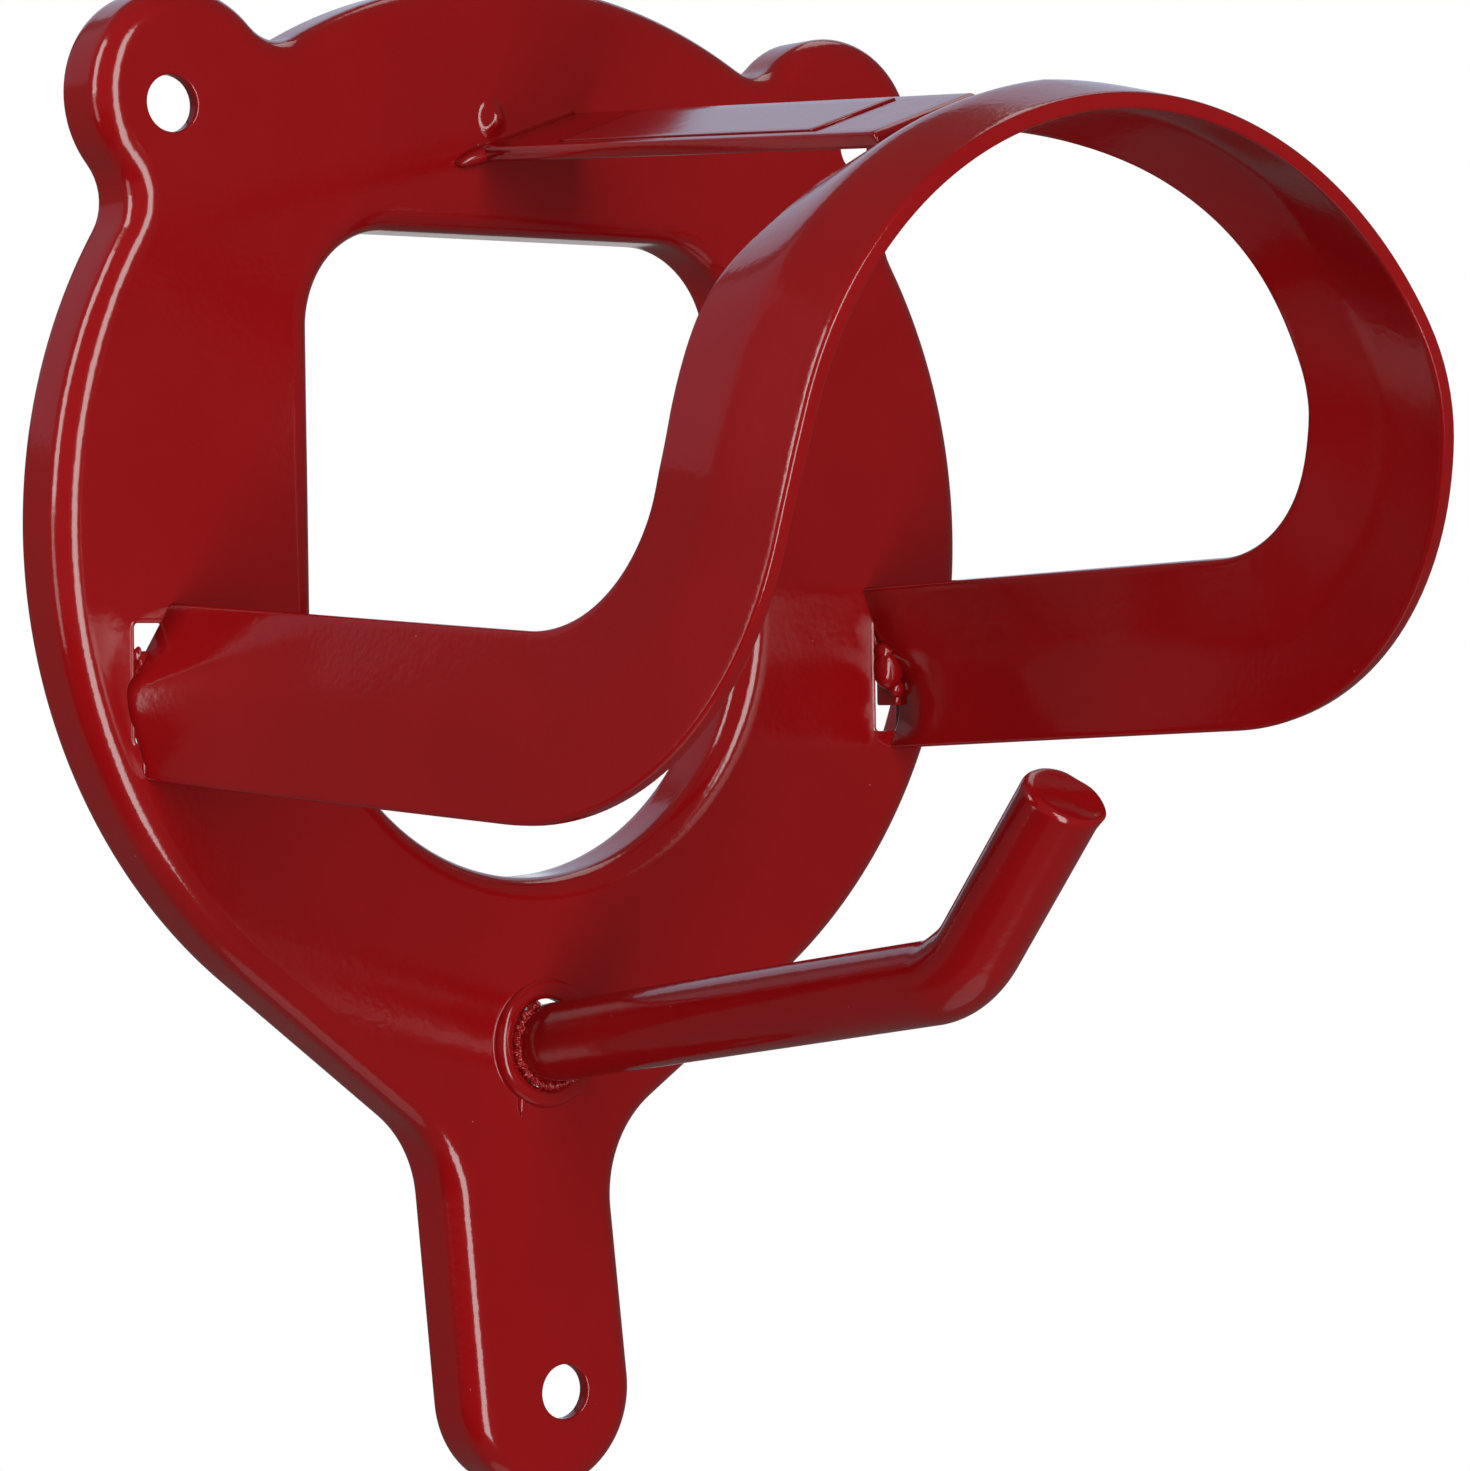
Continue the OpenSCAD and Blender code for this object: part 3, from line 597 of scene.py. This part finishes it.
def hookSpine():
    # the bar's axis as forward and up: shank, bend and upturn; with its turn, how far each point is in the
    # bend, and the distances along the upturn
    h = hook
    a0, a1 = np.radians(h["rise"]), np.radians(h["upturn"])
    trim = h["bendR"] * np.tan((a1 - a0) / 2)
    shank, end = h["reach"] / np.cos(a0) - trim, h["upturnL"] - trim
    s1 = np.concatenate([[-h["back"], -2.0, 0.0, 1.0], np.linspace(2, shank, 60)])
    bend = np.linspace(0, 1, 40)[1:]
    s2 = np.linspace(0, end, 30)[1:]
    bent = a0 + (a1 - a0) * bend
    turn = np.concatenate([np.full(len(s1), a0), bent, np.full(len(s2), a1)])
    way0, way1 = np.array([np.cos(a0), np.sin(a0)]), np.array([np.cos(a1), np.sin(a1)])
    centre = way0 * shank + h["bendR"] * np.array([-np.sin(a0), np.cos(a0)])
    arc = centre + h["bendR"] * np.stack([np.sin(bent), -np.cos(bent)], -1)
    spine = np.concatenate([s1[:, None] * way0, arc, arc[-1] + s2[:, None] * way1])
    inBend = np.concatenate([np.zeros(len(s1)), np.sin(np.pi * bend) ** 2, np.zeros(len(s2))])
    return spine, turn, inBend, s2


def buildHook():
    h = hook
    spine, turn, inBend, s2 = hookSpine()
    v = np.linspace(0, 2 * np.pi, 64, endpoint=False)
    across, lift = np.cos(v), np.sin(v)
    swell = h["swell"] * np.clip(lift, 0, 1)[None] ** 2     # only inside the bend
    radius = h["r"] + inBend[:, None] * swell
    normal = np.stack([-np.sin(turn), np.cos(turn)], -1)
    axis = np.array([np.cos(turn[-1]), np.sin(turn[-1])])
    # cut end: the shears rounded the rim at the top and left it sharp, with a small burr, at the bottom right
    rim = h["rim"] - h["rimSway"] * np.cos(v + np.radians(h["rimTurn"]))
    near = smooth((s2 - s2[-1] + h["worn"]) / h["worn"])[:, None] * np.ones(len(v))
    burr = h["burr"] * bell(v, np.radians(h["burrTurn"]), h["burrOver"])
    nick = h["nick"] * bell(v, np.radians(h["nickTurn"]), h["nickOver"])
    radius[-len(s2):] += near ** 6 * (burr - nick)
    flat = spine[:, None] + (radius * lift)[..., None] * normal[:, None]
    flat[-len(s2):] -= (near * rim)[..., None] * axis
    # end face: rings that sink towards the rounded rim, with a shallow dent
    k = np.array(h["endRings"])[:, None]
    bite = np.clip((h["r"] * (k - 1) + rim) / rim, 0, 1)
    sink = rim * (1 - np.sqrt(1 - bite ** 2))
    spot = np.stack([k * across, k * lift], -1)
    fromDent = np.hypot(spot[..., 0] - h["dentAt"][0], spot[..., 1] - h["dentAt"][1])
    dent = h["dent"] * bell(fromDent, 0, h["dentOver"]) + h["grain"] * ripple(spot, 0.8, 7)
    out = -sink - dent * smooth((1 - k) / 0.25)
    flatEnd = spine[-1] + out[..., None] * axis + (radius[-1] * k * lift)[..., None] * normal[-1]
    plane = np.concatenate([flat, flatEnd])
    x = np.concatenate([radius * across, radius[-1] * k * across])
    points = np.stack([x, -plane[..., 0], plane[..., 1] - h["drop"]], -1)
    n, m = points.shape[:2]
    last = n * m - m + np.arange(m)
    faces = [gridQuads(n, m, closeColumns=True), np.arange(m)[None, ::-1],
             np.stack([last, np.roll(last, -1), np.full(m, n * m)], -1)]
    shell = outward(np.concatenate([points.reshape(-1, 3), points[-1].mean(0)[None]]), faces)
    makePiece("reinHook", *shell, "rein_hook", "powder_coat", coat)


buildHook()


# weld beads, from lumps given as centre, radii and seed
upright = np.eye(3)


def blob(centre, axes, radii, lump, seed):
    # sphere grid stretched along three axes, its radius uneven by a few waves
    a = np.linspace(0.02, np.pi - 0.02, 28)[:, None]
    b = np.linspace(0, 2 * np.pi, 44, endpoint=False)[None]
    unit = np.stack([np.sin(a) * np.cos(b), np.sin(a) * np.sin(b), np.cos(a) * np.ones_like(b)], -1)
    size = 1 + lump * ripple(unit, 1.7, seed)
    return tube(np.array(centre) + (unit * size[..., None] * np.array(radii)) @ np.array(axes))


# left: a rough thin bead between tab and slot, with a run of coat below it
leftBead = {"foot": (-61.2, 0.1, -77.6), "pitch": 1.15, "count": 9, "radii": (0.55, 0.8, 0.95), "seed": 11,
            "run": ((-60.4, 0.0, -81.0), (0.45, 0.35, 2.0), 30), "lump": 0.3}
# right: a smooth bead of three lobes beside the tab, and a fourth in the slot
rightBead = {"lobes": [((57.4, -1.0, -71.0), (2.1, 1.9, 3.1), 21), ((56.9, -0.9, -68.7), (1.5, 1.5, 1.5), 22),
                       ((58.9, -1.0, -73.6), (1.2, 1.0, 1.3), 23), ((57.6, 0.7, -67.2), (1.9, 0.7, 2.6), 24)],
             "lump": 0.06}


def buildLegBeads():
    x, y, z = leftBead["foot"]
    spots = [((x, y, z + leftBead["pitch"] * i), leftBead["radii"], leftBead["seed"] + i)
             for i in range(leftBead["count"])] + [leftBead["run"]]
    left = joined([blob(c, upright, r, leftBead["lump"], seed) for c, r, seed in spots])
    makePiece("leftLegBead", *left, "left_leg_weld", "powder_coat", coat)
    right = joined([blob(c, upright, r, rightBead["lump"], seed) for c, r, seed in rightBead["lobes"]])
    makePiece("rightLegBead", *right, "right_leg_weld", "powder_coat", coat)


# strap's root: a drop on the plate above it, a fillet along it and a bead at its left end
rootBead = {"drop": (-6.6, 0.6), "dropHalf": (2.5, 3.3), "dropRise": 1.5, "fillet": 1.1, "filletEnds": 0.35,
            "bury": 0.4, "end": (-8.3, -0.5, -4.05), "endRadii": (4.5, 1.7, 1.14), "lump": 0.02, "seed": 32}


def softDrop(centre, half, height):
    # low mound on the plate: a disc of rings, its height a smooth bell that meets the sheet without an edge
    k, a = np.linspace(1, 0.02, 22)[:, None], np.linspace(0, 2 * np.pi, 48, endpoint=False)[None]
    x, z = centre[0] + half[0] * k * np.cos(a), centre[1] + half[1] * k * np.sin(a)
    rings = np.stack([x, 0.02 - height * (1 - smooth(k)) * np.ones_like(a), z], -1)
    return tube(np.concatenate([rings[:1] + [0, 0.5, 0], rings]))


def strapFillet(r, n):
    # hollow fillet of coat where the strap's upper side meets the plate, thinner towards its ends
    along = np.linspace(-0.5, 0.5, n)
    ends = rootBead["filletEnds"]
    size = r * (ends + (1 - ends) * np.sqrt(np.clip(1 - (2 * along) ** 4, 0, 1)))[:, None]
    a = np.radians(np.linspace(0, 90, 9))[None]
    buried = np.full((n, 1), -rootBead["bury"])
    out = np.concatenate([buried, -0.02 + size * (1 - np.sin(a)), buried], 1)
    up = np.concatenate([buried, -0.02 + size * (1 - np.cos(a)), size + 0.1], 1)
    base = strapNear + along[:, None] * strap["width"] * strapSide
    return tube(base[:, None] + (strap["thick"] / 2 + up)[..., None] * strapUp - out[..., None] * strapAxes[1])


# strap's crown: three lumps below its far end, at these places across it
crownBead = {"across": (-1, 2, 5.5), "back": 0.9, "below": 1.1, "radii": (2.0, 1.5, 1.2),
             "lump": 0.12, "seed": 41}


def buildStrapBeads():
    b, c = rootBead, crownBead
    root = joined([softDrop(b["drop"], b["dropHalf"], b["dropRise"]), strapFillet(b["fillet"], 40),
                   blob(b["end"], strapAxes, b["endRadii"], b["lump"], b["seed"])])
    makePiece("strapRootBead", *root, "strap_root_weld", "powder_coat", coat)
    middle = strapFar + [0, c["back"], 0] - strapUp * c["below"]
    crown = joined([blob(middle + strapSide * q, strapAxes, c["radii"], c["lump"], c["seed"] + i)
                    for i, q in enumerate(c["across"])])
    makePiece("strapCrownBead", *crown, "strap_crown_weld", "powder_coat", coat)


# hook's root: a rough bead in the groove round the bar, open at the top, with a run of coat and a few drops
hookBead = {"fromTurn": 108, "toTurn": 318, "r": 5.5, "out": 1.15, "up": 0.1, "size": 0.55, "sizeSway": 0.12,
            "lump": 0.4, "grain": 0.35, "taper": 14.0, "dropLump": 0.1,
            "drops": [((-4.2, 0.0, -127.1), (0.6, 0.6, 1.7), 61), ((2.3, -0.1, -125.7), (0.4, 0.4, 0.4), 62),
                      ((0.9, -0.1, -126.4), (0.25, 0.3, 0.25), 63),
                      ((-0.6, -0.1, -126.2), (0.25, 0.3, 0.3), 64)]}


def buildHookBead():
    # fine lumps along the bead and round it, from waves over its direction and its section; thin at both ends
    b, n, m = hookBead, 520, 22
    a = np.radians(np.linspace(b["fromTurn"], b["toTurn"], n))
    v = np.linspace(0, 2 * np.pi, m, endpoint=False)
    way, section = np.stack([np.cos(a), np.sin(a)], -1), np.stack([np.cos(v), np.sin(v)], -1)
    spot = np.concatenate([np.repeat(6 * way[:, None], m, 1), 0.6 * np.broadcast_to(section, (n, m, 2))], -1)
    lumps = 1 + b["lump"] * ripple(spot, 0.8, 53) + b["grain"] * ripple(spot, 0.4, 54)
    fromEnd = np.minimum(np.arange(n), np.arange(n)[::-1])
    size = (b["size"] + b["sizeSway"] * ripple(way, 0.4, 51))[:, None] * lumps
    size = size * smooth(fromEnd / b["taper"] + 0.1)[:, None]
    r, out = b["r"] + size * np.cos(v), b["out"] + size * np.sin(v)
    ring = np.stack([r * way[:, :1], -out, r * way[:, 1:] - hook["drop"] + b["up"]], -1)
    shells = [tube(ring)] + [blob(c, upright, radii, b["dropLump"], seed) for c, radii, seed in b["drops"]]
    makePiece("hookBead", *joined(shells), "hook_weld", "powder_coat", coat)


buildLegBeads()
buildStrapBeads()
buildHookBead()


# room, light and camera
room = {"floorDrop": 1.5, "floorR": 0.5, "floorTone": (0.9, 0.9, 0.9), "floorRough": 0.7,
        "middle": (0, -0.05, -0.08), "ambient": 0.115, "darkLoss": 0.095,
        "darkLeft": (-0.62, -0.7), "darkBelow": (-0.2, -0.26),
        "backdropWay": (0.611, 0.792, 0.0), "backdropCone": (0.975, 0.99), "mirrorShare": 0.6}


def buildFloor():
    # round floor below the rack
    n = 96
    a = np.linspace(0, 2 * np.pi, n, endpoint=False)
    r = room["floorR"]
    points = np.stack([r * np.cos(a), r * np.sin(a), np.full(n, -room["floorDrop"])], -1)
    mesh = bpy.data.meshes.new("floor")
    mesh.from_pydata(points.tolist(), [], [list(range(n))])
    floor = bpy.data.objects.new("floor", mesh)
    bpy.context.scene.collection.objects.link(floor)
    m = bpy.data.materials.new("paleFloor")
    m.use_nodes = True
    shader = m.node_tree.nodes["Principled BSDF"]
    shader.inputs["Base Color"].default_value = rgba(room["floorTone"])
    shader.inputs["Roughness"].default_value = room["floorRough"]
    mesh.materials.append(m)


def rangeOf(ends):
    return {"From Min": ends[0], "From Max": ends[1]}


def buildWorld():
    # white for the camera, and a part of it for reflections straight into the backdrop; everywhere else a dim
    # grey studio, darkest low on the left
    world = bpy.data.worlds.new("studio")
    bpy.context.scene.world = world
    world.use_nodes = True
    tree = world.node_tree
    link = tree.links.new
    dim = tree.nodes["Background"]
    dim.inputs["Color"].default_value = (1, 1, 1, 1)
    white = addNode(tree, "ShaderNodeBackground", {"Color": (1, 1, 1, 1)})
    path, mix = addNode(tree, "ShaderNodeLightPath"), addNode(tree, "ShaderNodeMixShader")
    way, split = addNode(tree, "ShaderNodeTexCoord"), addNode(tree, "ShaderNodeSeparateXYZ")
    leftward = addNode(tree, "ShaderNodeMapRange", rangeOf(room["darkLeft"]), clamp=True)
    below = addNode(tree, "ShaderNodeMapRange", rangeOf(room["darkBelow"]), clamp=True)
    both = addNode(tree, "ShaderNodeMath", operation="MULTIPLY")
    tones = {1: -room["darkLoss"], 2: room["ambient"]}
    level = addNode(tree, "ShaderNodeMath", tones, operation="MULTIPLY_ADD")
    along = addNode(tree, "ShaderNodeVectorMath", {1: room["backdropWay"]}, operation="DOT_PRODUCT")
    cones = {**rangeOf(room["backdropCone"]), "To Max": room["mirrorShare"]}
    cone = addNode(tree, "ShaderNodeMapRange", cones, clamp=True)
    mirrored = addNode(tree, "ShaderNodeMath", operation="MAXIMUM")
    reflected = addNode(tree, "ShaderNodeMath", operation="MULTIPLY")
    either = addNode(tree, "ShaderNodeMath", operation="MAXIMUM")
    link(way.outputs["Generated"], split.inputs[0])
    link(split.outputs["X"], leftward.inputs["Value"])
    link(split.outputs["Z"], below.inputs["Value"])
    link(leftward.outputs["Result"], both.inputs[0])
    link(below.outputs["Result"], both.inputs[1])
    link(both.outputs[0], level.inputs[0])
    link(level.outputs[0], dim.inputs["Strength"])
    link(way.outputs["Generated"], along.inputs[0])
    link(along.outputs["Value"], cone.inputs["Value"])
    link(path.outputs["Is Glossy Ray"], mirrored.inputs[0])
    link(path.outputs["Is Transmission Ray"], mirrored.inputs[1])
    link(mirrored.outputs[0], reflected.inputs[0])
    link(cone.outputs["Result"], reflected.inputs[1])
    link(reflected.outputs[0], either.inputs[0])
    link(path.outputs["Is Camera Ray"], either.inputs[1])
    link(either.outputs[0], mix.inputs["Fac"])
    link(dim.outputs[0], mix.inputs[1])
    link(white.outputs[0], mix.inputs[2])
    link(mix.outputs[0], tree.nodes["World Output"].inputs["Surface"])


def placed(columns):
    # matrix from three axes and a place
    return Matrix([[c[i] for c in columns] for i in range(3)] + [[0, 0, 0, 1]])


def softbox(name, turn, tilt, width, height, glow, roll=0, far=1.7, tint=(1, 1, 1)):
    # a rectangle round the rack: turn from straight ahead, tilt above level, roll about its axis, width and
    # height as angles, glow as brightness against a white card, far as its distance in metres
    light = bpy.data.lights.new(name, "AREA")
    light.shape, light.color = "RECTANGLE", tint
    light.size = 2 * far * np.tan(np.radians(width / 2))
    light.size_y = 2 * far * np.tan(np.radians(height / 2))
    light.energy = 4 * glow * light.size * light.size_y
    t, e, r = np.radians(turn), np.radians(tilt), np.radians(roll)
    outWay = np.array([np.sin(t) * np.cos(e), -np.cos(t) * np.cos(e), np.sin(e)])
    rightWay = np.array([np.cos(t), np.sin(t), 0.0])
    above = np.cross(outWay, rightWay)
    sideWay, upWay = rightWay * np.cos(r) - above * np.sin(r), rightWay * np.sin(r) + above * np.cos(r)
    lamp = bpy.data.objects.new(name, light)
    lamp.matrix_world = placed((sideWay, upWay, outWay, np.array(room["middle"]) + far * outWay))
    bpy.context.scene.collection.objects.link(lamp)
    return lamp


buildFloor()
buildWorld()
softbox("cameraBox", turn=-19, tilt=1, width=21, height=80, glow=5.8, roll=12)
softbox("leftBoxHigh", turn=-105.5, tilt=27, width=16, height=40, glow=5.3, far=0.9)
softbox("leftBoxLow", turn=-110, tilt=-2, width=13, height=23, glow=1.9, far=0.9)
softbox("rearBox", turn=128, tilt=58, width=22, height=24, glow=1.2)
softbox("backGlow", turn=150, tilt=23, width=46, height=38, glow=0.42, tint=(0.76, 0.97, 1.3))
softbox("leftGlow", turn=-155, tilt=30, width=30, height=36, glow=0.14, tint=(1, 0.9, 1.2))
fill = softbox("fillBox", turn=130, tilt=12, width=50, height=40, glow=0.8)
fill.visible_glossy = False     # only lifts the sides turned from the camera
print("room and lamps built")

shot = {"right": (0.7916182257, -0.6108488859, -0.0142906719),
        "up": (0.0146843586, -0.0043621085, 0.9998826639),
        "back": (-0.6108395488, -0.7917351897, 0.0055167995), "place": (-0.4176586, -0.5823757, -0.0756928),
        "sensor": 36, "focalShare": 5500 / 1470, "near": 0.01, "far": 20}     # focal length in picture widths
camera = bpy.data.cameras.new("camera")
camera.sensor_fit, camera.sensor_width = "HORIZONTAL", shot["sensor"]
camera.lens = shot["focalShare"] * shot["sensor"]
camera.clip_start, camera.clip_end = shot["near"], shot["far"]
eye = bpy.data.objects.new("camera", camera)
eye.matrix_world = placed((shot["right"], shot["up"], shot["back"], shot["place"]))
bpy.context.scene.collection.objects.link(eye)
bpy.context.scene.camera = eye
bpy.context.scene.view_settings.view_transform = "Standard"
